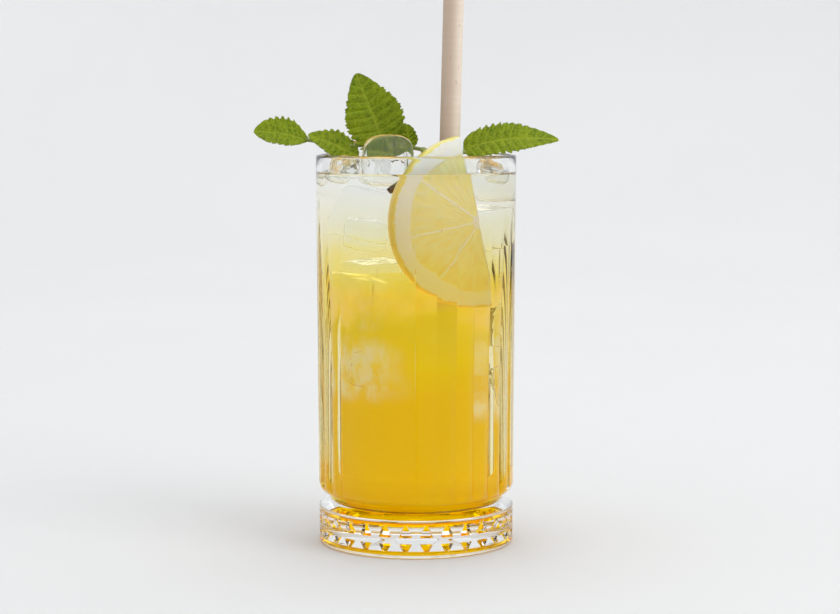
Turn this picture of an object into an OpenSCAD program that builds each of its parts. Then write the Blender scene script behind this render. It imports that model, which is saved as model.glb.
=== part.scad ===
// Tall glass of iced lemonade with a half lemon wheel, a mint sprig and a straw.
// Millimetres, +Z up. The origin is on the glass's axis, at the underside of its foot.
// The front of the drink, where the lemon wheel stands, faces -Y.

/* [Glass] */
// Height of the glass, foot to rim
glass_h = 150; // [120:1:180]
// Outer diameter at the rim
rim_d = 77; // [64:0.5:96]
// Outer diameter of the body at its lower end
body_d = 75.6; // [62:0.1:95]
// Wall thickness at the rim
rim_wall = 2.4; // [1.6:0.1:3.5]
// Wall thickness at the lower end of the body
low_wall = 3.7; // [2.5:0.1:5]
// Radius of the body's rounded lower corner
body_corner = 4.6; // [2:0.1:6]
// Thickness of the solid glass under the drink
base_t = 13; // [8:0.5:16]
// Radius of the rounded corner at the bottom of the cavity
cavity_corner = 8; // [4:0.5:10]

/* [Foot] */
// Outer diameter of the foot
foot_d = 75.4; // [60:0.1:95]
// Height of the foot's upright side
foot_h = 14.8; // [12:0.1:17]
// Diameter of the waist between foot and body
waist_d = 66.2; // [54:0.1:80]
// Height of the middle of the waist
waist_z = 18.2; // [17:0.1:20]
// Rounding of the foot's two edges
foot_edge = 1.4; // [0.5:0.1:2]
// Number of crosses round the foot
crosses = 30; // [20:1:36]
// Height of one cross
cross_h = 11.4; // [8:0.1:11.6]
// Depth of the cuts between the crosses
cross_cut = 0.8; // [0.3:0.1:1.2]

/* [Flutes] */
// Number of fluted panels round the body
panels = 3; // [2:1:4]
// Flutes in one panel
flutes = 6; // [3:1:7]
// Angle that one flute takes
flute_pitch = 12; // [8:0.5:12]
// Depth of the grooves at the body's lower end
groove_depth = 0.8; // [0.3:0.1:1.2]
// Width of the grooves' mouth where they are deepest
groove_w = 3; // [1.5:0.1:4]
// Distance below the rim at which the grooves have run out
groove_fade = 22; // [10:1:40]

/* [Drink] */
// Distance from the rim down to the drink's surface
headspace = 7.5; // [5:0.5:12]

/* [Straw] */
// Outer diameter of the straw
straw_d = 7.8; // [6:0.1:9]
// Wall thickness of the straw
straw_wall = 0.5; // [0.3:0.1:1]
// Length of the straw
straw_len = 210; // [180:1:240]
// Angle that the straw leans to the right
straw_lean = 1.46; // [0:0.01:3]

/* [Lemon wheel] */
// Radius of the half wheel
slice_r = 32.5; // [26:0.5:34]
// Thickness of the half wheel
slice_t = 5.5; // [3:0.5:7]
// Width of the peel and the white pith at the rim of the wheel
pith_w = 5.2; // [3:0.1:7]
// Thickness of the membranes between the segments
membrane_t = 1; // [0.5:0.1:2]
// Depth of the cut flesh below the membranes
flesh_dip = 0.3; // [0.1:0.1:0.6]
// Lean of the cut edge from upright
slice_lean = 11; // [0:1:16]
// Turn of the wheel's face to the right of the front
slice_turn = 20; // [10:1:25]
// Distance that the wheel's top corner stands above the rim
slice_rise = 7.4; // [2:0.1:12]
// Gap between the wheel's ends and the glass
slice_gap = 0.6; // [0.3:0.1:2]

/* [Ice] */
// Edge of the two cubes behind
ice_edge = 17; // [12:0.5:18]
// Width of the cube in front
front_ice_w = 20; // [14:0.5:22]
// Depth of the cube in front
front_ice_t = 14; // [10:0.5:15]
// Distance that the cube in front stands above the rim
front_ice_rise = 8.2; // [3:0.1:12]
// Distance that the cube at the left stands above the rim
left_ice_rise = 6.8; // [2:0.1:10]
// Distance that the top of the cube at the right lies below the rim
right_ice_drop = 1.8; // [0.5:0.1:4]
// Direction of the cube at the left, from the right and turning backwards
left_ice_angle = 142; // [138:1:146]
// Direction of the cube at the right, from the right and turning backwards
right_ice_angle = 35; // [30:1:40]
// Gap between a cube and the glass
ice_gap = 0.5; // [0.3:0.1:2]

/* [Mint] */
// Diameter of the main stem
stem_d = 2.4; // [1.6:0.1:2.6]
// Diameter of the stalks of the leaves
stalk_d = 1.6; // [1:0.1:1.8]
// Thickness of a leaf
leaf_t = 0.7; // [0.5:0.1:1]
// Teeth along one edge of a leaf
leaf_teeth = 8; // [5:1:10]
// Room between the lemon wheel and the cube in front, where the stem passes
stem_room = 4.5; // [3.6:0.1:6]
// Room between the lemon wheel and the straw, where a stalk passes
stalk_room = 3; // [2.4:0.1:4]

/* [Hidden] */
$fn = 64;

// Steps in a quarter turn of a rounded edge.
ARC_STEPS = 6;
// Extra length of a cutter past the face that it starts from.
PAST = 2;

rim_r = rim_d / 2;
body_r = body_d / 2;
foot_r = foot_d / 2;
waist_r = waist_d / 2;
level = glass_h - headspace;
low_inner_r = body_r - low_wall;
rim_inner_r = rim_r - rim_wall;
body_z = waist_z + 1 + body_corner;
cavity_z = base_t + cavity_corner;

// Inner and outer radius of the body's wall at a height.
function share(z, low, high) = (z - low) / (high - low);
function inner_r(z) = low_inner_r + (rim_inner_r - low_inner_r) * share(z, cavity_z, glass_h);
function outer_r(z) = body_r + (rim_r - body_r) * share(z, body_z, glass_h);

// Points of an arc in the plane of a profile.
function arc(x, z, r, from, to, steps = ARC_STEPS) =
    [for (i = [0:steps]) [x, z] + r * [cos(from + (to - from) * i / steps),
                                       sin(from + (to - from) * i / steps)]];

// The lemon wheel's own directions: along it to the right, and towards the front.
along = [cos(slice_turn), sin(slice_turn), 0];
front = [sin(slice_turn), -cos(slice_turn), 0];
slice_core_u = slice_r * (1 - sin(slice_lean)) / 2;
slice_half = slice_r - slice_core_u;
slice_core_z = glass_h + slice_rise - slice_r * cos(slice_lean);
slice_low_z = slice_core_z - slice_r;
slice_mid = sqrt(pow(inner_r(slice_low_z) - slice_gap, 2) - pow(slice_half, 2)) - slice_t / 2;
slice_back = slice_mid - slice_t / 2;

// A place given along the wheel, by its distance behind the wheel's back face, and by its height.
function behind_slice(u, behind, z) = along * u + front * (slice_back - behind) + [0, 0, z];

straw_u = 7.5;
straw_top_at = behind_slice(straw_u, stalk_room + straw_d / 2, glass_h);
straw_foot = [straw_top_at[0] - (glass_h - base_t) * tan(straw_lean), straw_top_at[1], base_t];

// Distance from the axis at which a cube of this edge has its corners just inside the wall.
function ice_place(edge) = sqrt(pow(inner_r(level) - ice_gap, 2) - pow(edge / 2, 2)) - edge / 2;

// Points of a leaf: s runs from stalk to tip and v across the blade, both as shares.
function unit(v) = v / norm(v);
function saw(s) = s * leaf_teeth - floor(s * leaf_teeth + 0.001);
function leaf_half_width(s, w) =
    0.3 + w / 2 * pow(sin(180 * pow(s, 0.8)), 0.8) * (1 + 0.14 * (saw(s) - 0.5));
function leaf_point(base, tip, face, w, fold, bow, s, v, side_up) =
    let (dir = unit(tip - base),
         side = unit(cross(face, dir)),
         up = cross(dir, side),
         half = leaf_half_width(s, w))
    base + dir * norm(tip - base) * s
    + side * half * v * cos(fold)
    + up * (abs(v) * half * sin(fold) + bow * sin(180 * s) + side_up * leaf_t / 2);

module leaf(base, tip, face, w, fold, bow) {
    rows = 2 * leaf_teeth;
    cols = 4;
    each_side = (rows + 1) * (cols + 1);
    // Two rows a tooth: the notch, and the point just before the next notch.
    function row_s(i) = min(1, (floor(i / 2) + (i % 2) * 0.86) / leaf_teeth);
    points = [for (side_up = [-1, 1], i = [0:rows], j = [0:cols])
        leaf_point(base, tip, face, w, fold, bow, row_s(i), 2 * j / cols - 1, side_up)];
    function at(k, i, j) = k * each_side + i * (cols + 1) + j;
    flat = [for (k = [0, 1], i = [0:rows - 1], j = [0:cols - 1])
        let (a = at(k, i, j), b = at(k, i + 1, j), c = at(k, i + 1, j + 1), d = at(k, i, j + 1))
        each k == 0 ? [[a, c, d], [a, b, c]] : [[a, d, c], [a, c, b]]];
    ends = [for (j = [0:cols - 1])
        each [[at(0, 0, j), at(1, 0, j + 1), at(1, 0, j)], [at(0, 0, j), at(0, 0, j + 1), at(1, 0, j + 1)],
              [at(0, rows, j), at(1, rows, j), at(1, rows, j + 1)],
              [at(0, rows, j), at(1, rows, j + 1), at(0, rows, j + 1)]]];
    edges = [for (i = [0:rows - 1])
        each [[at(0, i, 0), at(1, i, 0), at(1, i + 1, 0)], [at(0, i, 0), at(1, i + 1, 0), at(0, i + 1, 0)],
              [at(0, i, cols), at(1, i + 1, cols), at(1, i, cols)],
              [at(0, i, cols), at(0, i + 1, cols), at(1, i + 1, cols)]]];
    polyhedron(points, concat(flat, ends, edges));
}

// A round stem through a row of points.
module stem(route, d) {
    for (i = [0:len(route) - 2])
        hull() {
            translate(route[i]) sphere(d = d, $fn = 16);
            translate(route[i + 1]) sphere(d = d, $fn = 16);
        }
}

// ---- Glass ----

function cavity_outline(top) = concat(
    [[0, base_t]],
    arc(low_inner_r - cavity_corner, cavity_z, cavity_corner, -90, 0),
    [[inner_r(top), top], [0, top]]);

function glass_outline() = concat(
    [[0, 0]],
    arc(foot_r - foot_edge, foot_edge, foot_edge, -90, 0),
    arc(foot_r - foot_edge, foot_h - foot_edge, foot_edge, 0, 65),
    [[waist_r + 0.6, waist_z - 1], [waist_r, waist_z], [waist_r + 0.2, waist_z + 1]],
    arc(body_r - body_corner, body_z, body_corner, -80, 0),
    arc(rim_r - rim_wall / 2, glass_h - rim_wall / 2, rim_wall / 2, 0, 180, 2 * ARC_STEPS),
    arc(low_inner_r - cavity_corner, cavity_z, cavity_corner, 0, -90),
    [[0, base_t]]);

module grooves() {
    groove_top = glass_h - groove_fade;
    lean = atan((groove_depth + outer_r(groove_top) - body_r) / (groove_top - body_z));
    for (p = [0:panels - 1], k = [0:flutes])
        rotate([0, 0, -90 + 360 * p / panels + flute_pitch * k])
            translate([body_r - groove_depth, 0, body_z])
                rotate([0, lean, 0])
                    translate([0, 0, -body_corner + 1])
                        linear_extrude(glass_h)
                            polygon([[0, 0], [groove_depth, -groove_w / 2], [rim_wall + groove_depth, -groove_w],
                                     [rim_wall + groove_depth, groove_w], [groove_depth, groove_w / 2]]);
}

// The cuts that leave a ring of crosses: one above and one below each cross's level arms.
module foot_cuts() {
    pitch_w = 2 * PI * foot_r / crosses;
    arm = cross_h * 0.11;
    middle = foot_h / 2;
    half = cross_h / 2;
    for (i = [0:crosses - 1])
        rotate([0, 0, -90 + 360 * (i + 0.5) / crosses])
            translate([foot_r - cross_cut, 0, middle])
                rotate([90, 0, 90])
                    linear_extrude(cross_cut + PAST)
                        for (up = [-1, 1])
                            polygon([[-pitch_w * 0.3, up * arm], [pitch_w * 0.3, up * arm],
                                     [pitch_w * 0.1, up * half], [-pitch_w * 0.1, up * half]]);
}

module glass() {
    color("whitesmoke", 0.35)
        difference() {
            rotate_extrude() polygon(glass_outline());
            grooves();
            foot_cuts();
        }
}

// ---- Drink ----

module lemonade() {
    color("goldenrod")
        difference() {
            rotate_extrude() polygon(cavity_outline(level));
            straw_body();
            slice_body();
            front_cube();
            left_cube();
            right_cube();
            stem([stem_route[0], stem_route[1]], stem_d);
        }
}

// ---- Straw ----

module straw_body() {
    intersection() {
        translate(straw_foot)
            rotate([0, straw_lean, 0])
                difference() {
                    translate([0, 0, -PAST]) cylinder(d = straw_d, h = straw_len + PAST);
                    translate([0, 0, -2 * PAST]) cylinder(d = straw_d - 2 * straw_wall, h = straw_len + 4 * PAST);
                }
        translate([-rim_d, -rim_d, base_t]) cube([2 * rim_d, 2 * rim_d, straw_len + PAST]);
    }
}

module straw() {
    color("burlywood") straw_body();
}

// ---- Lemon wheel ----

segment_edges = [90, 133, 181, 225, 270];

// Outline of one segment's flesh, between two membranes that run from the core to the pith.
function segment_outline(from, to) =
    let (middle = (from + to) / 2,
         start = membrane_t / 2 / sin((to - from) / 2),
         outer = slice_r - pith_w,
         inset = asin(membrane_t / 2 / outer))
    concat([(start + 1.2) * [cos(middle), sin(middle)]],
           arc(0, 0, outer, from + inset + 2, to - inset - 2));

module slice_flat() {
    edge = 1;
    difference() {
        rotate([0, 0, 90])
            rotate_extrude(angle = 180)
                polygon(concat([[0, -slice_t / 2]],
                               arc(slice_r - edge, -slice_t / 2 + edge, edge, -90, 0),
                               arc(slice_r - edge, slice_t / 2 - edge, edge, 0, 90),
                               [[0, slice_t / 2]]));
        for (i = [0:len(segment_edges) - 2], up = [0, 1])
            mirror([0, 0, up])
                translate([0, 0, slice_t / 2 - flesh_dip])
                    linear_extrude(flesh_dip + PAST)
                        polygon(segment_outline(segment_edges[i], segment_edges[i + 1]));
    }
}

module slice_body() {
    rotate([0, 0, slice_turn])
        translate([slice_core_u, -slice_mid, slice_core_z])
            rotate([90, 0, 0])
                rotate([0, 0, slice_lean])
                    slice_flat();
}

module lemon_slice() {
    color("khaki") slice_body();
}

// ---- Ice ----

// A cube with a worn, rounded outline, standing on the middle of its lower face.
module ice_cube(w, t, h) {
    translate([0, 0, h / 2])
        intersection() {
            cube([w, t, h], center = true);
            sphere(r = norm([w, t, h]) * 0.4);
        }
}

module front_cube() {
    translate(behind_slice(-15.5, stem_room + front_ice_t / 2, glass_h + front_ice_rise - front_ice_w))
        rotate([0, 0, slice_turn])
            ice_cube(front_ice_w, front_ice_t, front_ice_w);
}

module back_cube(angle, top) {
    rotate([0, 0, angle])
        translate([ice_place(ice_edge), 0, top - ice_edge])
            ice_cube(ice_edge, ice_edge, ice_edge);
}

module left_cube() {
    back_cube(left_ice_angle, glass_h + left_ice_rise);
}

module right_cube() {
    back_cube(right_ice_angle, glass_h - right_ice_drop);
}

module ice_front() {
    color("lightcyan", 0.5) front_cube();
}

module ice_left() {
    color("lightcyan", 0.5) left_cube();
}

module ice_right() {
    color("lightcyan", 0.5) right_cube();
}

// ---- Mint ----

fork = behind_slice(-1.5, 11.2, glass_h + 2);
stem_route = [behind_slice(-17.4, 2.2, level - 5.5), behind_slice(-9, 2.4, level + 0.5),
              behind_slice(-2.5, 4, glass_h - 2), fork];
top_leaf_base = behind_slice(-5, 22, glass_h + 3);
left_leaf_base = [-rim_r + 12, -3, glass_h + 3.5];
right_leaf_base = behind_slice(12.5, 1.5, glass_h + 1.2);

module mint_sprig() {
    color("olivedrab") {
        stem(stem_route, stem_d);
        stem([fork, top_leaf_base], stalk_d);
        stem([top_leaf_base, top_leaf_base + [-10, 2, 0.5], left_leaf_base], stalk_d);
        stem([fork, behind_slice(1, 3.6, glass_h + 1.5), behind_slice(5, 1.5, glass_h + 1.2),
              right_leaf_base], stalk_d);
        stem([left_leaf_base, left_leaf_base + [-6, -1, 1]], stalk_d);
        // The upright leaf
        leaf(top_leaf_base, top_leaf_base + [-16, 1.5, 28], [0, -1, 0.15], 22, 12, -2);
        // The small leaf beside it
        leaf(fork + [-4.5, 6, 0.6], fork + [-6.2, 6.2, 9.5], [0.3, -1, 0.2], 6, 15, -0.5);
        // The two leaves at the left, one over the other
        leaf(left_leaf_base + [4, 0, 0], left_leaf_base + [-14.5, -4, 5], [0.1, -0.8, 1], 11, 14, 1.5);
        leaf(left_leaf_base + [-4, -0.5, 0.5], left_leaf_base + [-35, -4, 3.6], [0, -0.7, 1], 12, 20, 2);
        // The leaf at the right, which arches over the rim
        leaf(right_leaf_base, right_leaf_base + [35, 1.5, 5.4], [-0.1, -0.9, 1], 14, 10, 3);
    }
}

glass();
lemonade();
straw();
lemon_slice();
mint_sprig();
ice_front();
ice_left();
ice_right();
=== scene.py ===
"""A tall fluted glass of iced lemonade: its looks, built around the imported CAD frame."""

import math

import bmesh
import bpy
import numpy as np
from mathutils import Matrix, Vector, noise


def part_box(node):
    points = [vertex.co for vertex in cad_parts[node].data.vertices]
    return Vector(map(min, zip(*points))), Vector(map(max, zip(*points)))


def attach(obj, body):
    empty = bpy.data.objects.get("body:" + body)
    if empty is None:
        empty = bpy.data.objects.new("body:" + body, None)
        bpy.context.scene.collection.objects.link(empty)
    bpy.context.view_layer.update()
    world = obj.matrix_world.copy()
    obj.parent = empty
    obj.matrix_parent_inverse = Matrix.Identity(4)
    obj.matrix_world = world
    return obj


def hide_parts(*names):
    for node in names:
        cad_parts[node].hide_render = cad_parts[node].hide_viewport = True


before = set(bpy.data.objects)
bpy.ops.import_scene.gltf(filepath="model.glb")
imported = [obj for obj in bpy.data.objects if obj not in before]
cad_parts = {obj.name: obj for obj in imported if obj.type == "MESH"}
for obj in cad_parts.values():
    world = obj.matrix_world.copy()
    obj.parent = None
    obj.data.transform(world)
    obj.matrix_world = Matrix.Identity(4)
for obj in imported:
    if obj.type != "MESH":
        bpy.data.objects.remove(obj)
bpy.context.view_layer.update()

MM = 0.001

# ---- Sizes in millimetres, taken from the frame where the frame holds them ----

glass_low, glass_high = (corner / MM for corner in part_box("glass"))
GLASS_H = glass_high.z
RIM_R = (glass_high.x - glass_low.x) / 2
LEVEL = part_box("lemonade")[1].z / MM
FLOOR_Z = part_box("lemonade")[0].z / MM
SLICE_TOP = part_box("lemon_slice")[1].z / MM

BODY_R = 37.8
RIM_WALL = 2.4
LOW_WALL = 3.7
BODY_CORNER = 4.6
CAVITY_CORNER = 8.0
FOOT_R = 37.7
FOOT_H = 14.8
FOOT_EDGE = 1.4
WAIST_R = 33.1
WAIST_Z = 18.2
LOW_INNER_R = BODY_R - LOW_WALL
RIM_INNER_R = RIM_R - RIM_WALL
BODY_Z = WAIST_Z + 1 + BODY_CORNER
CAVITY_Z = FLOOR_Z + CAVITY_CORNER
INTO_WALL = 0.15          # the drink reaches this far into the glass, so that no air shows between them

SLICE_R = 32.5
SLICE_T = 5.5
SLICE_LEAN = math.radians(11)
SLICE_TURN = math.radians(20)
SLICE_GAP = 0.6
STRAW_D = 7.8
STRAW_WALL = 0.5
STRAW_LEAN = math.radians(1.46)
STALK_ROOM = 3.0


def inner_r(z):
    """Radius of the cavity's wall at a height above the rounded bottom corner."""
    return LOW_INNER_R + (RIM_INNER_R - LOW_INNER_R) * (z - CAVITY_Z) / (GLASS_H - CAVITY_Z)


def outer_r(z):
    """Radius of the body's outside at a height above the rounded lower corner."""
    return BODY_R + (RIM_R - BODY_R) * (z - BODY_Z) / (GLASS_H - BODY_Z)


# The lemon wheel's own directions and places, as in the CAD model.
ALONG = Vector((math.cos(SLICE_TURN), math.sin(SLICE_TURN), 0))
FRONT = Vector((math.sin(SLICE_TURN), -math.cos(SLICE_TURN), 0))
UP = Vector((0, 0, 1))
slice_core_u = SLICE_R * (1 - math.sin(SLICE_LEAN)) / 2
slice_core_z = SLICE_TOP - SLICE_R * math.cos(SLICE_LEAN)
slice_half = SLICE_R - slice_core_u
slice_mid = math.sqrt((inner_r(slice_core_z - SLICE_R) - SLICE_GAP) ** 2 - slice_half ** 2) - SLICE_T / 2
slice_back = slice_mid - SLICE_T / 2


def behind_slice(u, behind, z):
    """A place given along the wheel, by its distance behind the wheel's back face, and by its height."""
    return ALONG * u + FRONT * (slice_back - behind) + UP * z


def clamp(x, low=0.0, high=1.0):
    return np.minimum(np.maximum(x, low), high)


def smooth(x):
    x = clamp(x)
    return x * x * (3 - 2 * x)


def bumps(points, size, seed=0.0):
    """Smooth noise of about -1 to 1 at each of an array of points; size is that of one bump."""
    return np.array([noise.noise(Vector(p) / size + Vector((seed, seed * 1.7, -seed))) for p in points])


# ---- Mesh and material helpers ----

def new_object(name, verts, faces, materials, face_materials=None, masks=None, sharp_deg=None):
    """A smooth-shaded mesh from points in millimetres, with named per-point masks for its material."""
    mesh = bpy.data.meshes.new(name)
    mesh.from_pydata([tuple(v) for v in np.asarray(verts, float) * MM], [], faces)
    for m in materials:
        mesh.materials.append(m)
    if face_materials is not None:
        mesh.polygons.foreach_set("material_index", face_materials)
    for key, values in (masks or {}).items():
        attribute = mesh.attributes.new(key, "FLOAT", "POINT")
        attribute.data.foreach_set("value", np.asarray(values, np.float32))
    mesh.validate()
    mesh.shade_smooth()
    if sharp_deg is not None:
        mesh.set_sharp_from_angle(angle=math.radians(sharp_deg))
    obj = bpy.data.objects.new(name, mesh)
    bpy.context.scene.collection.objects.link(obj)
    return obj


def outward(obj):
    """Turns all faces of a closed mesh outwards."""
    bm = bmesh.new()
    bm.from_mesh(obj.data)
    bmesh.ops.recalc_face_normals(bm, faces=bm.faces)
    bm.to_mesh(obj.data)
    bm.free()
    return obj


def place(obj, slot, *nodes):
    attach(obj, "root")
    if nodes:
        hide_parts(*nodes)
    return obj


def grid_faces(rows, cols, closed, start=0):
    """Quads between rows of points; closed joins the last column to the first."""
    faces = []
    for i in range(rows - 1):
        for j in range(cols if closed else cols - 1):
            k = (j + 1) % cols
            a, b = start + i * cols, start + (i + 1) * cols
            faces.append((a + j, a + k, b + k, b + j))
    return faces


def capped_faces(rows, turns):
    """Faces of rows of points round an axis, closed at both ends onto two more points that follow them."""
    count = rows * turns
    last = count - turns
    faces = grid_faces(rows, turns, True)
    for j in range(turns):
        k = (j + 1) % turns
        faces.append((count, k, j))
        faces.append((count + 1, last + j, last + k))
    return faces


def ring_points(radius, angles, z):
    """Points round the glass's axis at a height."""
    return np.stack([radius * np.cos(angles), radius * np.sin(angles), np.full(len(angles), z)], 1)


def turn_matrix(turn):
    """Rotation by three angles in degrees, about X, then Y, then Z."""
    x, y, z = (Matrix.Rotation(math.radians(angle), 3, axis) for angle, axis in zip(turn, "XYZ"))
    return z @ y @ x


def arc(x, z, r, start, end, steps):
    """Points of an arc in the plane of a profile."""
    angles = np.radians(np.linspace(start, end, steps + 1))
    return [(x + r * math.cos(t), z + r * math.sin(t)) for t in angles]


def spread(points, step):
    """The same outline with points no further apart than step."""
    out = [points[0]]
    for (x0, z0), (x1, z1) in zip(points, points[1:]):
        n = max(1, math.ceil(math.hypot(x1 - x0, z1 - z0) / step))
        out += [(x0 + (x1 - x0) * k / n, z0 + (z1 - z0) * k / n) for k in range(1, n + 1)]
    return out


class Nodes:
    """A small helper that writes one material's node tree."""

    def __init__(self, name):
        self.material = bpy.data.materials.new(name)
        self.material.use_nodes = True
        self.tree = self.material.node_tree
        self.shader = self.tree.nodes["Principled BSDF"]

    def add(self, kind, inputs=None, **settings):
        node = self.tree.nodes.new(kind)
        for key, value in settings.items():
            setattr(node, key, value)
        for key, value in (inputs or {}).items():
            self.put(node.inputs[key], value)
        return node

    def put(self, socket, value):
        if isinstance(value, bpy.types.NodeSocket):
            self.tree.links.new(value, socket)
        elif isinstance(value, tuple) and len(value) == 3 and socket.type == "RGBA":
            socket.default_value = (*value, 1)
        else:
            socket.default_value = value

    def set(self, **inputs):
        for key, value in inputs.items():
            self.put(self.shader.inputs[key.replace("_", " ")], value)

    def position(self):
        """Where a point of the surface is, in metres; every piece's object lies at the origin."""
        return self.add("ShaderNodeTexCoord").outputs["Object"]

    def split(self, vector, axis):
        return self.add("ShaderNodeSeparateXYZ", {0: vector}).outputs[axis]

    def scaled(self, vector, scale):
        return self.add("ShaderNodeMapping", {"Vector": vector, "Scale": scale}).outputs[0]

    def noise(self, vector, scale, detail=3.0, rough=0.5):
        node = self.add("ShaderNodeTexNoise", {"Vector": vector, "Scale": scale, "Detail": detail,
                                               "Roughness": rough})
        return node.outputs["Fac"]

    def mask(self, name):
        return self.add("ShaderNodeAttribute", attribute_name=name).outputs["Fac"]

    def span(self, value, low, high, to_low=0.0, to_high=1.0):
        node = self.add("ShaderNodeMapRange", {"Value": value, "From Min": low, "From Max": high,
                                               "To Min": to_low, "To Max": to_high})
        return node.outputs[0]

    def math(self, kind, a, b=0.0):
        return self.add("ShaderNodeMath", {0: a, 1: b}, operation=kind).outputs[0]

    def mix(self, factor, a, b, kind="MIX"):
        node = self.add("ShaderNodeMix", data_type="RGBA", blend_type=kind)
        self.put(node.inputs[0], factor)
        self.put(node.inputs[6], a)
        self.put(node.inputs[7], b)
        return node.outputs[2]

    def ramp(self, value, stops):
        node = self.add("ShaderNodeValToRGB", {"Fac": value})
        while len(node.color_ramp.elements) < len(stops):
            node.color_ramp.elements.new(0.5)
        for element, (at, colour) in zip(node.color_ramp.elements, stops):
            element.position = at
            element.color = (*colour, 1)
        return node.outputs["Color"]

    def bump(self, height, strength, distance):
        node = self.add("ShaderNodeBump", {"Height": height, "Strength": strength, "Distance": distance})
        self.put(self.shader.inputs["Normal"], node.outputs[0])


# ---- Camera, stage and light ----

LENS = 88.5
SENSOR_WIDTH = 36
CAMERA_AT = (0.0015, -0.795, 0.169)
CAMERA_DOWN_DEG = 5.6
STAGE_FLOOR_R = 1300
STAGE_BEND_R = 900
STAGE_TOP = 2600
STAGE_TURNS = 96
STAGE_DROP = 0.02         # the floor lies this far under the glass, so that their faces don't coincide


def make_camera():
    data = bpy.data.cameras.new("camera")
    data.lens = LENS
    data.sensor_width = SENSOR_WIDTH
    camera = bpy.data.objects.new("camera", data)
    camera.location = CAMERA_AT
    camera.rotation_euler = (math.radians(90 - CAMERA_DOWN_DEG), 0, 0)
    bpy.context.scene.collection.objects.link(camera)
    bpy.context.scene.camera = camera


def make_stage():
    """A pale round floor that curves up into a wall all round, so that no horizon shows."""
    m = Nodes("backdrop_paint")
    grain = m.noise(m.position(), 3.0, 2.0)
    m.set(Base_Color=m.mix(grain, (0.80, 0.80, 0.80), (0.84, 0.84, 0.84)), Roughness=0.9,
          Specular_IOR_Level=0.1)
    bend = arc(STAGE_FLOOR_R, STAGE_BEND_R, STAGE_BEND_R, -90, 0, 16)[1:]
    outline = spread([(0, 0), (STAGE_FLOOR_R, 0)] + bend + [(STAGE_FLOOR_R + STAGE_BEND_R, STAGE_TOP)], 150)
    verts = [(r * math.cos(t), r * math.sin(t), z - STAGE_DROP) for r, z in outline[1:]
             for t in np.linspace(0, 2 * math.pi, STAGE_TURNS, endpoint=False)]
    faces = [face[::-1] for face in grid_faces(len(outline) - 1, STAGE_TURNS, True)]
    verts.append((0, 0, -STAGE_DROP))
    faces += [(len(verts) - 1, j, (j + 1) % STAGE_TURNS) for j in range(STAGE_TURNS)]
    floor = new_object("floor", verts, faces, [m.material])


def make_light(name, size, power, place_at, aim):
    data = bpy.data.lights.new(name, "AREA")
    data.shape = "RECTANGLE"
    data.size, data.size_y = size
    data.energy = power
    light = bpy.data.objects.new(name, data)
    light.location = place_at
    direction = Vector(aim) - Vector(place_at)
    light.rotation_euler = direction.to_track_quat("-Z", "Y").to_euler()
    bpy.context.scene.collection.objects.link(light)


def make_lights():
    make_light("key", (1.2, 1.4), 10.0, (1.35, -0.95, 1.2), (0, 0, 0.08))
    make_light("top", (2.2, 2.2), 10.2, (0, 0.2, 2.3), (0, 0, 0))
    make_light("back", (2.4, 1.2), 4.0, (0.2, 1.5, 1.2), (0, 0.2, 0.05))
    world = bpy.data.worlds.new("studio")
    world.use_nodes = True
    background = world.node_tree.nodes["Background"]
    background.inputs["Color"].default_value = (0.96, 0.98, 1.0, 1)
    background.inputs["Strength"].default_value = 0.83
    scene = bpy.context.scene
    scene.world = world
    scene.view_settings.view_transform = "Standard"
    scene.cycles.max_bounces = 20
    scene.cycles.transmission_bounces = 20
    scene.cycles.diffuse_bounces = 4
    scene.cycles.glossy_bounces = 6


# ---- Glass ----

PANELS = 3
FLUTES = 6
FLUTE_PITCH = math.radians(12)
FIRST_FLUTE = math.radians(-90)
FLUTE_DEPTH = 1.3
FLUTE_TOP = 136.0
CROSSES = 30
CROSS_LOW = 3.0
CROSS_HIGH = 12.2
LEVEL_LOW = 5.75
LEVEL_HIGH = 8.15
ARM_ROOT = 1.45
ARM_TIP = 2.95
FACETS_LOW = 1.4
FACETS_HIGH = 13.9
SHOULDER_EDGE = 0.6
UPPER_FACET = math.tan(math.radians(27))
LOWER_FACET = math.tan(math.radians(34))
FACET_EDGE = 0.3
GLASS_TURNS = 720
AXIS_GAP = 4              # the last ring of points before the middle of a flat end
FLAT_R = 30               # the foot's underside needs no points inside this


def flute_depth(theta, z):
    """How far the wall lies inside its round form: convex flutes in three panels, fading towards the rim."""
    from_panel = np.mod(theta - FIRST_FLUTE, 2 * math.pi / PANELS)
    in_panel = from_panel < FLUTES * FLUTE_PITCH
    phase = np.mod(from_panel / FLUTE_PITCH, 1)
    across = (2 * phase - 1) ** 2
    fade = smooth((FLUTE_TOP - z) / 75) * smooth((z - WAIST_Z - 1.5) / 4)
    return np.where(in_panel, across, 0) * FLUTE_DEPTH * fade


def arm_half_width(z):
    """Half the width of a cross's upright arm at a height. It flares towards both ends."""
    heights = (CROSS_LOW, LEVEL_LOW, LEVEL_HIGH, CROSS_HIGH)
    return float(np.interp(z, heights, (ARM_TIP, ARM_ROOT, ARM_ROOT, ARM_TIP)))


def foot_columns(z):
    """Angles of the foot's columns of points at a height: two follow each side of each cross's arm."""
    half_pitch = math.pi * FOOT_R / CROSSES
    arm = arm_half_width(z)
    share = np.arange(GLASS_TURNS) * CROSSES / GLASS_TURNS
    cell = np.floor(share + 0.5)
    offset = share - cell
    beside = np.interp(2 * np.abs(offset), (0, 0.5, 0.5 + 2 * CROSSES / GLASS_TURNS, 1),
                       (0, arm, arm + FACET_EDGE, half_pitch))
    return FIRST_FLUTE + 2 * math.pi / CROSSES * (cell + np.sign(offset) * beside / (2 * half_pitch)), beside


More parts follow.
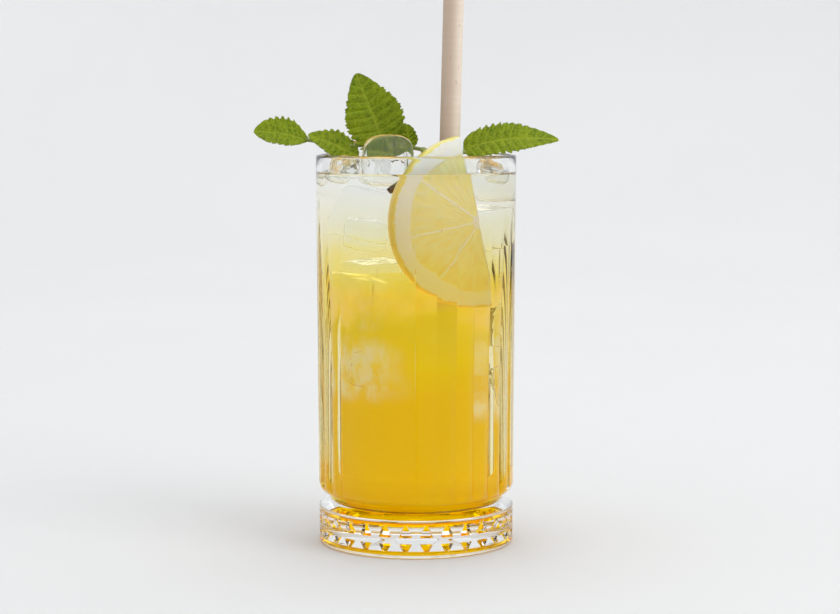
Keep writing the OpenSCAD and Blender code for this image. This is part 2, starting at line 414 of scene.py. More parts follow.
def cross_depth(beside, z):
    """Depth of the cuts round a ring of crosses: facets that run deeper towards the crosses' level arms.

    The upright faces of the crosses show what is behind the foot, and the facets show the drink above it.
    """
    from_arm = np.maximum(beside - arm_half_width(z), max(CROSS_LOW - z, z - CROSS_HIGH))
    from_cross = np.minimum(from_arm, max(LEVEL_LOW - z, z - LEVEL_HIGH))
    facet = (FACETS_HIGH - z) * UPPER_FACET if z > LEVEL_HIGH else (z - FACETS_LOW) * LOWER_FACET
    return max(facet, 0) * clamp(from_cross / FACET_EDGE)


def glass_material():
    m = Nodes("clear_pressed_glass")
    where = m.position()
    ripple = m.noise(m.scaled(where, (1.0, 1.0, 0.35)), 55.0, 2.0)
    m.set(Base_Color=(0.985, 0.99, 0.985), Roughness=0.0, IOR=1.5, Transmission_Weight=1.0,
          Specular_Tint=(0.22, 0.22, 0.22, 1))
    m.bump(ripple, 0.05, 0.0006)
    return m.material


def make_glass():
    side = [FACETS_LOW, CROSS_LOW - FACET_EDGE, CROSS_LOW, LEVEL_LOW - FACET_EDGE, LEVEL_LOW, LEVEL_HIGH,
            LEVEL_HIGH + FACET_EDGE, CROSS_HIGH, CROSS_HIGH + FACET_EDGE, FACETS_HIGH]
    outside = (spread([(AXIS_GAP, 0), (FOOT_R - FOOT_EDGE, 0)], 6)
               + arc(FOOT_R - FOOT_EDGE, FOOT_EDGE, FOOT_EDGE, -90, 0, 6)
               + [(FOOT_R, z) for z in side]
               + arc(FOOT_R - SHOULDER_EDGE, FOOT_H - SHOULDER_EDGE, SHOULDER_EDGE, 0, 62, 4)
               + [(WAIST_R + 1.3, WAIST_Z - 1.6), (WAIST_R + 0.35, WAIST_Z - 0.9), (WAIST_R, WAIST_Z),
                  (WAIST_R + 0.2, WAIST_Z + 0.8)]
               + arc(BODY_R - BODY_CORNER, BODY_Z, BODY_CORNER, -78, 0, 8))
    outside = spread(outside, 0.5)
    body = spread([outside[-1], (outer_r(GLASS_H - RIM_WALL / 2), GLASS_H - RIM_WALL / 2)], 3.0)[1:]
    lip = arc(RIM_R - RIM_WALL / 2, GLASS_H - RIM_WALL / 2, RIM_WALL / 2, 0, 180, 12)[1:]
    inside = spread([lip[-1], (inner_r(CAVITY_Z), CAVITY_Z)], 5.0)[1:]
    bottom = arc(LOW_INNER_R - CAVITY_CORNER, CAVITY_Z, CAVITY_CORNER, 0, -90, 10)[1:]
    bottom += spread([bottom[-1], (AXIS_GAP, FLOOR_Z)], 6)[1:]
    outside = [p for p in outside if p[1] > 0 or p[0] > FLAT_R]
    outline = [(AXIS_GAP, 0)] + outside + body + lip + inside + bottom
    theta = FIRST_FLUTE + np.linspace(0, 2 * math.pi, GLASS_TURNS, endpoint=False)
    outer_rows = len(outline) - len(inside) - len(bottom) - len(lip)
    rows = []
    for i, (r, z) in enumerate(outline):
        radius, angles = np.full(GLASS_TURNS, float(r)), theta
        if i < outer_rows and r > WAIST_R - 1:
            if z > WAIST_Z + 1:
                radius = radius - flute_depth(theta, z)
            elif z < FOOT_H:
                angles, beside = foot_columns(z)
                radius = radius - cross_depth(beside, z)
        rows.append(ring_points(radius, angles, z))
    verts = np.concatenate(rows + [[(0, 0, 0), (0, 0, FLOOR_Z)]])
    faces = capped_faces(len(outline), GLASS_TURNS)
    obj = new_object("glass_body", verts, faces, [glass_material()], sharp_deg=24)
    return place(outward(obj), "clear_glass", "glass")


# ---- Ice ----

ICE_CUTS = 28


def ice_material(name, ior, clearness):
    m = Nodes(name)
    where = m.position()
    cloud = m.noise(where, 160.0, 3.0)
    m.set(Base_Color=m.mix(cloud, (0.99, 1.0, 0.99), (0.96, 0.98, 0.97)), Roughness=0.02, IOR=ior,
          Transmission_Weight=clearness)
    m.bump(m.noise(where, 320.0, 2.0), 0.25, 0.0004)
    return m.material


def ice_cube(name, centre, size, turn, material, seed, power, melt=0.05):
    """A melted cube: a rounded block with soft hollows, squarer for a higher power. turn is in degrees."""
    bm = bmesh.new()
    bmesh.ops.create_cube(bm, size=2)
    bmesh.ops.subdivide_edges(bm, edges=bm.edges, cuts=ICE_CUTS, use_grid_fill=True)
    rotation = turn_matrix(turn)
    for v in bm.verts:
        p = v.co.copy()
        p /= sum(abs(c) ** power for c in p) ** (1 / power)
        p *= 1 - melt * (0.5 + 0.5 * noise.noise(p * 1.3 + Vector((seed, 0, seed * 2))))
        p *= 1 - melt * 0.4 * noise.noise(p * 3.1 + Vector((0, seed, 0)))
        p = Vector((p.x * size[0] / 2, p.y * size[1] / 2, p.z * size[2] / 2))
        v.co = (rotation @ p + Vector(centre)) * MM
    mesh = bpy.data.meshes.new(name)
    bm.to_mesh(mesh)
    bm.free()
    mesh.materials.append(material)
    mesh.shade_smooth()
    obj = bpy.data.objects.new(name, mesh)
    bpy.context.scene.collection.objects.link(obj)
    return outward(obj)


def node_middle(node):
    low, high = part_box(node)
    return (low + high) / 2 / MM


# Sunk cubes: centre, edge lengths and turn. The first is the small clear one at the front left.
SUNK_ICE = [
    ((-17, -18.5, 120.5), (14, 12, 12), (4, 6, 14)),
    ((-13, -10.5, 101), (22, 19, 19), (8, -6, 30)),
    ((-9, 12, 126), (22, 21, 21), (12, 8, 50)),
    ((7, 11, 101), (17, 18, 20), (-8, 10, 15)),
    ((18, 4, 122), (18, 18, 16), (6, -8, 65)),
    ((-16.5, 15.5, 93), (18, 18, 20), (14, 5, 20)),
    ((-12, -14, 69), (22, 16, 14), (-3, 5, 8)),
    ((22, -5.5, 85), (12, 14, 17), (4, -8, 10)),
    ((22, -5.5, 62), (12, 14, 16), (-6, 8, 5)),
    ((2, 16, 76), (21, 21, 20), (10, 16, 35)),
]


# Small pieces that float at the surface: centre, edge lengths and turn.
ICE_CHIPS = [
    ((-26.5, -13.5, 144.6), (10, 10, 11), (6, 10, 30)),
    ((-30, 1.0, 142.5), (8, 8, 9), (12, 20, 60)),
    ((27.5, -11.5, 143.2), (10, 9, 8), (-8, 12, 40)),
]


def make_ice(above, below):
    """All the ice. Gives back the pieces that stand out of the drink, which it has to be hollowed for."""
    made = []
    front = ice_cube("ice_dome_front", node_middle("ice_front"), (19.5, 13.5, 19.6),
                     (0, 0, math.degrees(SLICE_TURN)), above, 1.0, 3.2)
    made.append(place(front, "ice", "ice_front"))
    for node, angle, seed in (("ice_left", 142, 2.0), ("ice_right", 35, 3.0)):
        dome = ice_cube(node.replace("ice_", "ice_dome_"), node_middle(node), (16.8, 16.8, 16.8),
                        (0, 0, angle), above, seed, 3.6)
        made.append(place(dome, "ice", node))
    for i, (centre, size, turn) in enumerate(ICE_CHIPS):
        chip = ice_cube(f"ice_chip_{i + 1}", centre, size, turn, above, 20.0 + i, 3.4, 0.12)
        made.append(place(chip, "ice"))
    # The renderer gives clear ice the dark shadow of a solid, so these cast none.
    for piece in made:
        piece.visible_shadow = False
    for i, (centre, size, turn) in enumerate(SUNK_ICE):
        place(ice_cube(f"ice_sunk_{i + 1}", centre, size, turn, below, 4.0 + i, 6.0), "ice")
    return made


# ---- Drink ----

FROST_REACH = 7.5         # how far round a sunk cube the cloudy drink looks pale


def ice_near_wall(points):
    """Per point, 1 where a sunk cube lies close behind the wall and 0 where none does."""
    out = np.zeros(len(points))
    for centre, size, turn in SUNK_ICE:
        local = (points - np.array(centre)) @ np.array(turn_matrix(turn))
        half = np.array(size) / 2
        beyond = np.maximum(np.abs(local) - half, 0)
        gap = np.sqrt((beyond ** 2).sum(1))
        out = np.maximum(out, smooth((FROST_REACH - gap) / FROST_REACH))
    return out


# Share of red, green and blue light that passes through the drink's clear outer part, by height from its
# floor to its surface. Below two thirds of that height the cloudy core gives most of the colour.
DRINK_PASSES = [
    (0.00, (1.0, 0.58, 0.0)), (0.01, (1.0, 0.62, 0.0)), (0.05, (1.0, 0.82, 0.01)),
    (0.10, (0.98, 0.90, 0.45)), (0.20, (0.98, 0.92, 0.62)), (0.46, (0.98, 0.89, 0.55)),
    (0.60, (0.98, 0.81, 0.25)), (0.67, (0.98, 0.79, 0.17)), (0.75, (0.98, 0.83, 0.28)),
    (0.81, (0.96, 0.88, 0.54)), (0.90, (0.98, 0.95, 0.82)), (1.00, (0.99, 0.985, 0.95)),
]
CORE_R = 27.2
CORE_TOP = 104.0
CORE_GAP = 0.6
CORE_BLEND = 7.0          # over this height above the cavity's corner the core leaves the wall
CORE_ROW = 1.2
DRINK_TURNS = 300
UNDERSIDE_Z = FLOOR_Z + 2.5
MENISCUS = 0.9


def height_share(m, where, wander):
    """Share of the drink's height, wandering up and down by some metres as its layers do."""
    swirl = m.noise(m.scaled(where, (1.0, 1.0, 1.6)), 42.0, 4.0)
    shifted = m.math("ADD", m.split(where, 2), m.span(swirl, 0.3, 0.7, -wander, wander))
    return m.span(shifted, FLOOR_Z * MM, LEVEL * MM)


def grey(level):
    return (level, level, level)


def drink_material():
    m = Nodes("lemonade_clear")
    share = height_share(m, m.position(), 0.005)
    m.set(Base_Color=m.ramp(share, DRINK_PASSES), Roughness=0.0, IOR=1.333, Transmission_Weight=1.0,
          Specular_Tint=(0.0, 0.0, 0.0, 1))
    return m.material


def bottom_material():
    """The drink's underside. It lies against the glass, so it tints what shows through the foot, and it gives
    off a faint painted amber glow.
    """
    m = Nodes("lemonade_underside")
    tint = m.noise(m.position(), 60.0, 2.0)
    # The emission is a painted amber glow.
    m.set(Base_Color=m.mix(tint, (1.0, 0.60, 0.0), (1.0, 0.66, 0.0)), Roughness=0.0, IOR=1.0,
          Transmission_Weight=1.0, Specular_Tint=(0.0, 0.0, 0.0, 1), Emission_Color=(0.08, 0.048, 0.0, 1),
          Emission_Strength=1.0)
    return m.material


def core_material():
    """Cloudy amber drink: it glows a little with painted light that stands in for the light it would scatter,
    and it clears towards its top.
    """
    m = Nodes("lemonade_cloudy")
    where = m.position()
    share = height_share(m, where, 0.007)
    colour = m.ramp(share, [(0.00, (1.0, 0.63, 0.0)), (0.36, (1.0, 0.65, 0.0)), (0.46, (1.0, 0.74, 0.0)),
                            (0.58, (1.0, 0.83, 0.04)), (0.70, (1.0, 0.93, 0.42)), (0.72, (1.0, 1.0, 1.0))])
    frost = m.noise(m.scaled(where, (1.0, 1.0, 0.6)), 120.0, 4.0, 0.6)
    ice = m.math("MULTIPLY", m.mask("ice_behind"), m.span(frost, 0.38, 0.58, 0.1, 0.85))
    colour = m.mix(ice, colour, (1.0, 0.94, 0.68))
    # Painted glow, strongest in the lower drink, standing in for light that the cloudy drink would scatter.
    painted_glow = m.ramp(share, [(0.0, grey(0.35)), (0.45, grey(0.34)), (0.60, grey(0.26)), (0.71, grey(0.0))])
    clear = m.ramp(share, [(0.0, grey(0.02)), (0.42, grey(0.04)), (0.57, grey(0.10)), (0.65, grey(0.6)),
                           (0.71, grey(1.0))])
    m.set(Base_Color=colour, Roughness=0.5, IOR=1.0, Transmission_Weight=clear, Specular_IOR_Level=0.0,
          Emission_Color=m.mix(1.0, colour, painted_glow, "MULTIPLY"), Emission_Strength=1.0)
    return m.material


def make_core():
    """The cloudy part of the drink, a lumpy column that stays clear of the glass."""
    theta = np.linspace(0, 2 * math.pi, DRINK_TURNS, endpoint=False)
    heights = np.arange(FLOOR_Z + CORE_GAP, CORE_TOP, CORE_ROW)
    rows = []
    for z in heights:
        foot = float(smooth((CAVITY_Z + CORE_BLEND - z) / CORE_BLEND))
        under = max(CAVITY_Z - z, 0)
        cavity = LOW_INNER_R - CAVITY_CORNER + math.sqrt(CAVITY_CORNER ** 2 - under ** 2)
        ring = ring_points(CORE_R + (cavity - CORE_GAP - CORE_R) * foot, theta, z)
        lumps = 1 + 0.03 * (1 - foot) * bumps(ring, 14.0, 5.0)
        ring[:, :2] *= lumps[:, None]
        rows.append(ring)
    verts = np.concatenate(rows + [[(0, 0, heights[0]), (0, 0, heights[-1])]])
    obj = new_object("lemonade_cloud", verts, capped_faces(len(heights), DRINK_TURNS), [core_material()],
                     masks={"ice_behind": ice_near_wall(verts)})
    return place(outward(obj), "lemonade")


def make_drink(cutters):
    """The drink up to its surface, with a small meniscus, and hollows where ice stands out of it."""
    theta = np.linspace(0, 2 * math.pi, DRINK_TURNS, endpoint=False)
    low_r = LOW_INNER_R - CAVITY_CORNER
    outline = (spread([(3, FLOOR_Z - INTO_WALL), (low_r, FLOOR_Z - INTO_WALL)], 5)
               + arc(low_r, CAVITY_Z, CAVITY_CORNER + INTO_WALL, -90, 0, 8)[1:])
    top = LEVEL + MENISCUS
    outline += spread([outline[-1], (inner_r(top) + INTO_WALL, top)], 1.2)[1:]
    wall = inner_r(LEVEL)
    outline += [(wall - d, LEVEL + MENISCUS * math.exp(-d / MENISCUS)) for d in (0.25, 0.6, 1.1, 1.8, 2.8)]
    outline += spread([(wall - 4, LEVEL), (3, LEVEL)], 3)
    rows = [ring_points(r, theta, z) for r, z in outline]
    verts = np.concatenate(rows + [[(0, 0, FLOOR_Z - INTO_WALL), (0, 0, LEVEL)]])
    surface = (verts[:, 2] > LEVEL - 0.1) & (np.hypot(verts[:, 0], verts[:, 1]) < wall - 1)
    verts[surface, 2] += 0.12 * bumps(verts[surface], 9.0, 2.0)
    faces = capped_faces(len(outline), DRINK_TURNS)
    below = [1 if all(verts[v][2] < UNDERSIDE_Z for v in face) else 0 for face in faces]
    obj = new_object("lemonade_drink", verts, faces, [drink_material(), bottom_material()], below)
    outward(obj)
    for cutter in cutters:
        modifier = obj.modifiers.new("hollow", "BOOLEAN")
        modifier.operation = "DIFFERENCE"
        modifier.solver = "EXACT"
        modifier.object = cutter
        with bpy.context.temp_override(object=obj, active_object=obj, selected_objects=[obj]):
            bpy.ops.object.modifier_apply(modifier=modifier.name)
    return place(obj, "lemonade", "lemonade")


def shrunk_copy(obj, by):
    """A copy of a closed mesh moved in by some millimetres, to cut a hollow that the piece still overlaps."""
    copy = obj.copy()
    copy.data = obj.data.copy()
    copy.parent = None
    copy.matrix_world = Matrix.Identity(4)
    for v in copy.data.vertices:
        v.co -= v.normal * by * MM
    bpy.context.scene.collection.objects.link(copy)
    return copy


# ---- Straw ----

def straw_material():
    m = Nodes("reed_fibre")
    where = m.position()
    rings = m.noise(m.scaled(where, (18.0, 18.0, 900.0)), 1.0, 4.0, 0.6)
    blotches = m.noise(m.scaled(where, (220.0, 220.0, 60.0)), 1.0, 3.0)
    specks = m.noise(m.scaled(where, (900.0, 900.0, 260.0)), 1.0, 1.0)
    colour = m.mix(rings, (0.78, 0.63, 0.50), (0.92, 0.82, 0.71))
    colour = m.mix(m.span(blotches, 0.35, 0.7, 0.0, 0.4), colour, (0.80, 0.66, 0.52))
    # Painted shade: the straw's left side, away from the key light, is darkened.
    colour = m.mix(m.math("MULTIPLY", m.mask("painted_shade_side"), 0.6), colour, (0.46, 0.31, 0.21))
    colour = m.mix(m.span(specks, 0.73, 0.78, 0.0, 0.4), colour, (0.48, 0.30, 0.18))
    m.set(Base_Color=colour, Roughness=0.62)
    m.bump(rings, 0.25, 0.0002)
    return m.material


def make_straw():
    turns, rings = 64, 90
    foot = behind_slice(7.5, STALK_ROOM + STRAW_D / 2, 0)
    foot.x -= (GLASS_H - FLOOR_Z) * math.tan(STRAW_LEAN)
    foot.z = FLOOR_Z
    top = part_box("straw")[1].z / MM
    axis = Vector((math.sin(STRAW_LEAN), 0, math.cos(STRAW_LEAN)))
    length = (top - FLOOR_Z) / math.cos(STRAW_LEAN) - 0.1
    outer, inner = STRAW_D / 2 - 0.02, STRAW_D / 2 - STRAW_WALL
    stations = np.linspace(0.6, length - 0.3, rings)
    lip = [(outer - 0.1, length - 0.05), (outer - STRAW_WALL / 2, length), (inner + 0.1, length - 0.05)]
    outline = [(outer, s) for s in stations] + lip + [(inner, s) for s in stations[::-1]]
    side = Vector((math.cos(STRAW_LEAN), 0, -math.sin(STRAW_LEAN)))
    back = Vector((0, 1, 0))
    verts, painted_shade_side = [], []
    for r, s in outline:
        for t in np.linspace(0, 2 * math.pi, turns, endpoint=False):
            # The mask of painted shade: 1 on the straw's left side, away from the key light, and 0 on its
            # right.
            painted_shade_side.append(float(smooth(0.5 - 0.9 * math.cos(t - 0.3))))
            wobble = 1 + 0.006 * noise.noise(Vector((math.cos(t), math.sin(t), s / 25)))
            verts.append(foot + axis * s + (side * math.cos(t) + back * math.sin(t)) * r * min(wobble, 1.0))
    faces = grid_faces(len(outline) + 1, turns, True)
    faces = [tuple(v % len(verts) for v in f) for f in faces]
    obj = new_object("reed_straw", verts, faces, [straw_material()], masks={"painted_shade_side": painted_shade_side})
    return place(outward(obj), "reed_straw", "straw")


# ---- Lemon wheel ----

PITH_OUT = 31.3
PITH_IN = 26.4
MEMBRANES = [90, 133, 181, 225, 270]
RIND_ROUND = 1.0
SKIN_DEPTH = 0.12         # the cut faces lie this far inside the wheel's thickness


def lemon_material():
    m = Nodes("lemon_wheel")
    where = m.position()
    flesh, rind, membrane = m.mask("flesh"), m.mask("rind"), m.mask("membrane")
    fibre = m.mask("fibre")
    patches = m.noise(where, 260.0, 3.0)
    pulp = m.mix(fibre, (0.99, 0.83, 0.33), (1.0, 0.92, 0.52))
    pulp = m.mix(m.span(patches, 0.35, 0.65, 0.0, 0.4), pulp, (1.0, 0.88, 0.44))
    pith = m.mix(patches, (0.99, 0.93, 0.80), (1.0, 0.96, 0.88))
    peel = m.mix(patches, (0.97, 0.70, 0.12), (1.0, 0.82, 0.28))
    # Painted glow: the wheel emits a little light below the drink's surface and none above it, standing in
    # for light it would scatter.
    sunk = m.span(m.split(where, 2), LEVEL * MM - 0.001, LEVEL * MM + 0.001, 1.0, 0.0)
    pips = m.math("MULTIPLY", membrane, m.span(m.noise(where, 520.0, 1.0), 0.66, 0.72))
    colour = m.mix(flesh, pith, pulp)
    colour = m.mix(m.math("MULTIPLY", membrane, 0.15), colour, (1.0, 0.94, 0.70))
    colour = m.mix(pips, colour, (0.62, 0.36, 0.10))
    colour = m.mix(rind, colour, peel)
    # The emission is that painted glow.
    m.set(Base_Color=colour, Roughness=0.28, Subsurface_Weight=1.0, Subsurface_Scale=0.004,
          Subsurface_Radius=(1.0, 0.85, 0.5), Coat_Weight=0.2,
          Emission_Color=m.mix(1.0, colour, m.mix(sunk, (0.0, 0.0, 0.0), (0.30, 0.25, 0.16)), "MULTIPLY"),
          Emission_Strength=1.0)
    m.bump(m.noise(where, 900.0, 2.0), 0.3, 0.0003)
    return m.material


def make_lemon():
    """The half wheel as a polar grid: pulp in segments that dip between membranes, pith and a thin rind."""
    angles = np.radians(np.linspace(90, 270, 361))
    half = SLICE_T / 2
    face_r = np.concatenate([[0.35], np.linspace(0.9, SLICE_R - RIND_ROUND, 96)])
    path = [(r, 1) for r in face_r] + [("round", a) for a in np.linspace(75, -75, 9)]
    path += [(r, -1) for r in face_r[::-1]]
    verts, flesh, rind, membrane, fibre = [], [], [], [], []
    edges = np.radians(MEMBRANES)
    for t in angles:
        k = int(clamp(np.searchsorted(edges, t, side="right") - 1, 0, len(edges) - 2))
        middle, width = (edges[k] + edges[k + 1]) / 2, (edges[k + 1] - edges[k]) / 2
        for r, side in path:
            if r == "round":
                a = math.radians(side)
                radius = SLICE_R - RIND_ROUND + RIND_ROUND * math.cos(a)
                flat = (half - RIND_ROUND) * math.copysign(1, a) * min(1, abs(a) / 0.4)
                height = flat + RIND_ROUND * math.sin(a)
                pores = noise.noise(Vector((radius * math.cos(t), radius * math.sin(t), height)) / 1.1)
                radius *= 1 - 0.002 * (1 + pores)
                in_flesh = wall = fib = 0.0
            else:
                radius = r
                off = (width - abs(t - middle)) * radius
                in_flesh = float(smooth((off - 0.1) / 0.45) * smooth((radius - 2.2) / 1.0)
                                 * smooth((PITH_IN + 0.5 * math.sin(6 * t) - radius) / 0.9))
                wall = float((1 - smooth((off - 0.05) / 0.3)) * smooth((PITH_IN + 0.8 - radius) / 1.0))
                fib = 0.5 + 0.9 * noise.noise(Vector((radius / 4.2, t * 13 + k * 5, side * 3.0)))
                height = side * (half - 0.35 * in_flesh + 0.22 * in_flesh * fib - SKIN_DEPTH)
            verts.append((radius * math.cos(t), radius * math.sin(t), height))
            flesh.append(in_flesh)
            membrane.append(wall)
            fibre.append(min(1, max(0, fib)))
            ragged = 0.7 * noise.noise(Vector(verts[-1]) / 1.8)
            rind.append(float(smooth((math.hypot(verts[-1][0], verts[-1][1]) - PITH_OUT - ragged) / 0.7)))
    cols = len(path)
    faces = grid_faces(len(angles), cols, False)
    centre_front, centre_back = len(verts), len(verts) + 1
    verts += [(0, 0, half - SKIN_DEPTH), (0, 0, -half + SKIN_DEPTH)]
    for values, at_centre in ((flesh, 0.0), (membrane, 0.0), (rind, 0.0), (fibre, 0.5)):
        values.extend([at_centre, at_centre])
    for i in range(len(angles) - 1):
        a, b = i * cols, (i + 1) * cols
        faces.append((centre_front, b, a))
        faces.append((centre_back, a + cols - 1, b + cols - 1))
    first = list(range(cols))
    faces.append(tuple([centre_front] + first + [centre_back]))
    last = [(len(angles) - 1) * cols + j for j in range(cols)]
    faces.append(tuple([centre_back] + last[::-1] + [centre_front]))
    verts = np.array(verts)
    lean = Matrix.Rotation(SLICE_LEAN, 3, "Z")
    stand = Matrix.Rotation(math.radians(90), 3, "X")
    turn = Matrix.Rotation(SLICE_TURN, 3, "Z")
    matrix = np.array(turn @ stand @ lean)
    origin = np.array(ALONG * slice_core_u + FRONT * slice_mid + UP * slice_core_z)
    obj = new_object("lemon_half_wheel", verts @ matrix.T + origin, faces, [lemon_material()],
                     masks={"flesh": flesh, "rind": rind, "membrane": membrane, "fibre": fibre}, sharp_deg=50)
    return place(outward(obj), "lemon", "lemon_slice")


# ---- Mint ----

def leaf_material():
    m = Nodes("mint_leaf")
    where = m.position()
    vein, under = m.mask("vein"), m.mask("under")
    mottle = m.noise(where, 420.0, 3.0)
    cell = m.add("ShaderNodeTexVoronoi", {"Vector": where, "Scale": 620.0}, feature="DISTANCE_TO_EDGE")
    net = m.span(cell.outputs["Distance"], 0.02, 0.16, 1.0, 0.0)
    broad = m.noise(where, 90.0, 2.0)
    top = m.mix(m.span(mottle, 0.3, 0.7), (0.060, 0.125, 0.001), (0.200, 0.290, 0.003))
    top = m.mix(m.span(broad, 0.35, 0.65, 0.0, 0.45), top, (0.270, 0.330, 0.004))
    lower = m.mix(m.span(mottle, 0.3, 0.7), (0.170, 0.250, 0.012), (0.310, 0.380, 0.040))
    colour = m.mix(under, top, lower)
    colour = m.mix(m.math("MULTIPLY", net, 0.4), colour, (0.400, 0.450, 0.020))
    colour = m.mix(m.math("MULTIPLY", vein, 0.55), colour, (0.440, 0.500, 0.040))
    m.set(Base_Color=colour, Roughness=0.55, Specular_IOR_Level=0.18, Subsurface_Weight=0.15,
          Subsurface_Scale=0.001, Subsurface_Radius=(0.4, 1.0, 0.2))
    m.bump(m.math("SUBTRACT", mottle, net), 0.5, 0.0003)
    return m.material


def stem_material():
    m = Nodes("mint_stem")
    where = m.position()
    grain = m.noise(m.scaled(where, (900.0, 900.0, 160.0)), 1.0, 2.0)
    colour = m.mix(grain, (0.20, 0.27, 0.05), (0.34, 0.38, 0.10))
    colour = m.mix(m.mask("cut_end"), colour, (0.16, 0.085, 0.03))
    m.set(Base_Color=colour, Roughness=0.5)
    m.bump(grain, 0.3, 0.0002)
    return m.material


LEAF_COLS = 24
STEM_R = 1.2
STALK_R = 0.75
STALK_TURNS = 14
STALK_STEPS = 8


def leaf_mesh(base, tip, face, width, fold, bow, seed, teeth, pairs, curl=0.0, widest=0.8):
    """Points, faces and masks of a leaf: toothed, folded along its midrib, quilted between its side veins.

    A widest above 1 puts the widest part past the middle, and one below 1 puts it near the base.
    """
    base, tip, face = Vector(base), Vector(tip), Vector(face)
    direction = (tip - base).normalized()
    length = (tip - base).length
    side = face.cross(direction).normalized()
    up = direction.cross(side)
    rows, cols = 8 * teeth, LEAF_COLS
    verts, vein_mask, under_mask = [], [], []
    for layer in (-1, 1):
        for i in range(rows + 1):
            s = i / rows
            body = math.sin(math.pi * s ** widest) ** 0.72 if 0 < s < 1 else 0.0
            saw = (s * teeth) % 1
            tooth = (0.15 + 0.07 * math.sin(7 * s + seed)) * (saw - 0.5) * min(1, 4 * (1 - s))
            tooth += 0.08 * ((2.3 * s * teeth + 0.3) % 1 - 0.5) + 0.05 * math.sin(9 * s + 3 * seed)
            half = 0.35 + width / 2 * max(0.0, body * (1 + tooth))
            angle = math.radians(fold)
            for j in range(cols + 1):
                v = 2 * j / cols - 1
                a = abs(v)
                lateral = (s - 0.06) * pairs / 0.86 - 0.85 * a
                near = abs(lateral - round(lateral))
                vein = max(math.exp(-(near / 0.10) ** 2) * min(1, 8 * a) * (1 - 0.5 * a),
                           math.exp(-(a * half / 0.45) ** 2))
                quilt = (0.5 - math.exp(-(near / 0.22) ** 2)) * 0.42 * body * min(1, 3 * a)
                ripple = 0.5 * noise.noise(Vector((s * 5 + seed, v * 2, seed))) * a * body
                lift = (a * half * math.sin(angle) * (1 - 0.25 * a) + bow * math.sin(math.pi * s)
                        + curl * s * s + quilt + ripple - 0.28 * vein + layer * 0.16)
                offset = side * (half * v * math.cos(angle)) + up * lift
                verts.append(base + direction * (length * s) + offset)
                vein_mask.append(vein)
                under_mask.append(1.0 if layer < 0 else 0.0)
    each = (rows + 1) * (cols + 1)
    faces = grid_faces(rows + 1, cols + 1, False) + grid_faces(rows + 1, cols + 1, False, each)
    ring = ([j for j in range(cols + 1)] + [i * (cols + 1) + cols for i in range(1, rows + 1)]
            + [rows * (cols + 1) + j for j in range(cols - 1, -1, -1)]
            + [i * (cols + 1) for i in range(rows - 1, 0, -1)])
    for a, b in zip(ring, ring[1:] + ring[:1]):
        faces.append((a, b, each + b, each + a))
    return verts, faces, vein_mask, under_mask


def tube_mesh(route, radius):
    """Points, faces and a share along it of a round stem through some points, closed at both ends."""
    points = [Vector(p) for p in route]
    path = []
    for i in range(len(points) - 1):
        before = points[max(i - 1, 0)]
        after = points[min(i + 2, len(points) - 1)]
        for k in range(STALK_STEPS):
            t = k / STALK_STEPS
            a, b, c, d = before, points[i], points[i + 1], after
            path.append(0.5 * (2 * b + (c - a) * t + (2 * a - 5 * b + 4 * c - d) * t * t
                               + (3 * b - a - 3 * c + d) * t ** 3))
    path.append(points[-1])
    verts, share = [], []
    for i, p in enumerate(path):
        ahead = (path[min(i + 1, len(path) - 1)] - path[max(i - 1, 0)]).normalized()
        side = ahead.cross(Vector((0.13, 0.31, 1))).normalized()
        other = ahead.cross(side)
        for t in np.linspace(0, 2 * math.pi, STALK_TURNS, endpoint=False):
            verts.append(p + (side * math.cos(t) + other * math.sin(t)) * radius)
            share.append(i / (len(path) - 1))
    faces = grid_faces(len(path), STALK_TURNS, True)
    faces.append(tuple(range(STALK_TURNS))[::-1])
    faces.append(tuple(len(verts) - STALK_TURNS + j for j in range(STALK_TURNS)))
    return verts, faces, share


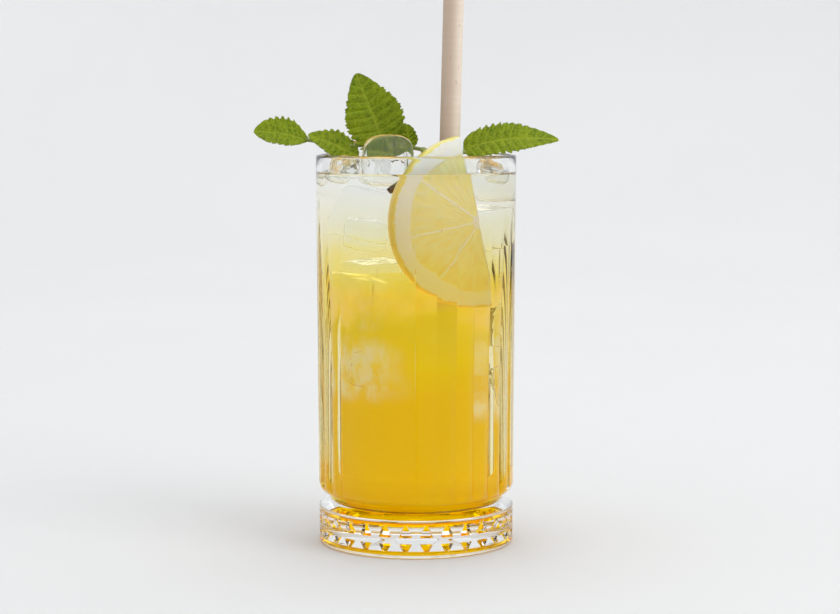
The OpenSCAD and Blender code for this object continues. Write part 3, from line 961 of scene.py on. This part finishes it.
def make_mint():
    fork = behind_slice(-1.5, 11.2, GLASS_H + 2)
    stem = [behind_slice(-17.4, 2.2, LEVEL - 5.5), behind_slice(-9, 2.4, LEVEL + 0.5),
            behind_slice(-2.5, 4, GLASS_H - 2), fork]
    top_base = behind_slice(-5, 22, GLASS_H + 3)
    left_base = Vector((-RIM_R + 12, -3, GLASS_H + 3.5))
    right_base = behind_slice(12.5, 1.5, GLASS_H + 1.2)
    top_foot = top_base + Vector((-7, 0, 0.5))
    leaves = [
        leaf_mesh(top_base + Vector((-5.4, -0.2, -4.6)), top_base + Vector((-18.6, 1.5, 27.8)),
                  (0, -1, 0.15), 21.5, 12, -2, seed=1.0, teeth=13, pairs=10),
        leaf_mesh(fork + Vector((-4.5, 6, 0.6)), fork + Vector((-6.2, 6.2, 9.5)),
                  (0.3, -1, 0.2), 6, 15, -0.5, seed=2.0, teeth=6, pairs=5),
        leaf_mesh(left_base + Vector((4.5, 0, -4.3)), left_base + Vector((-14.5, -4, 4.0)),
                  (0.1, -1, 0.7), 11, 14, 1.0, seed=3.0, teeth=9, pairs=8),
        leaf_mesh(left_base + Vector((-14.5, -1.5, 2.0)), left_base + Vector((-35.2, -4, 5.4)),
                  (0, -1, 0.7), 13, 20, 1.5, seed=4.0, teeth=9, pairs=8, widest=1.1),
        leaf_mesh(right_base + Vector((-1.4, 0.9, 1.3)), right_base + Vector((34.5, 1.5, 5.5)),
                  (-0.1, -1, 0.8), 14, 10, 3, seed=5.0, teeth=14, pairs=10, curl=-1.5, widest=0.6),
    ]
    stems = [
        tube_mesh(stem, STEM_R),
        tube_mesh([fork, top_base, top_foot, top_foot + Vector((-1.6, 0.4, 4))], STALK_R),
        tube_mesh([top_base, top_base + Vector((-10, 2, 0.5)), left_base, left_base + Vector((-7, -0.7, 1)),
                   left_base + Vector((-16, -1.6, 2.2))], STALK_R),
        tube_mesh([fork, behind_slice(1, 3.6, GLASS_H + 1.5), behind_slice(5, 1.5, GLASS_H + 1.2),
                   right_base], STALK_R),
    ]
    verts, faces, material_of, vein, under, cut = [], [], [], [], [], []
    for points, quads, veins, unders in leaves:
        start = len(verts)
        verts += points
        faces += [tuple(start + v for v in f) for f in quads]
        material_of += [0] * len(quads)
        vein += veins
        under += unders
        cut += [0.0] * len(points)
    for n, (points, quads, share) in enumerate(stems):
        start = len(verts)
        verts += points
        faces += [tuple(start + v for v in f) for f in quads]
        material_of += [1] * len(quads)
        vein += [0.0] * len(points)
        under += [0.0] * len(points)
        cut += [1.0 if n == 0 and s < 0.12 else 0.0 for s in share]
    masks = {"vein": vein, "under": under, "cut_end": cut}
    obj = new_object("mint_sprig_leaves", verts, faces, [leaf_material(), stem_material()], material_of,
                     masks)
    return place(outward(obj), "mint", "mint_sprig")


# ---- Everything ----

make_camera()
make_stage()
make_lights()
make_glass()
ice_out = make_ice(ice_material("ice_clear", 1.31, 0.97), ice_material("ice_in_drink", 0.97, 1.0))
hollows = [shrunk_copy(o, 0.12) for o in ice_out]
make_drink(hollows)
for hollow in hollows:
    bpy.data.objects.remove(hollow)
make_core()
make_straw()
make_lemon()
make_mint()
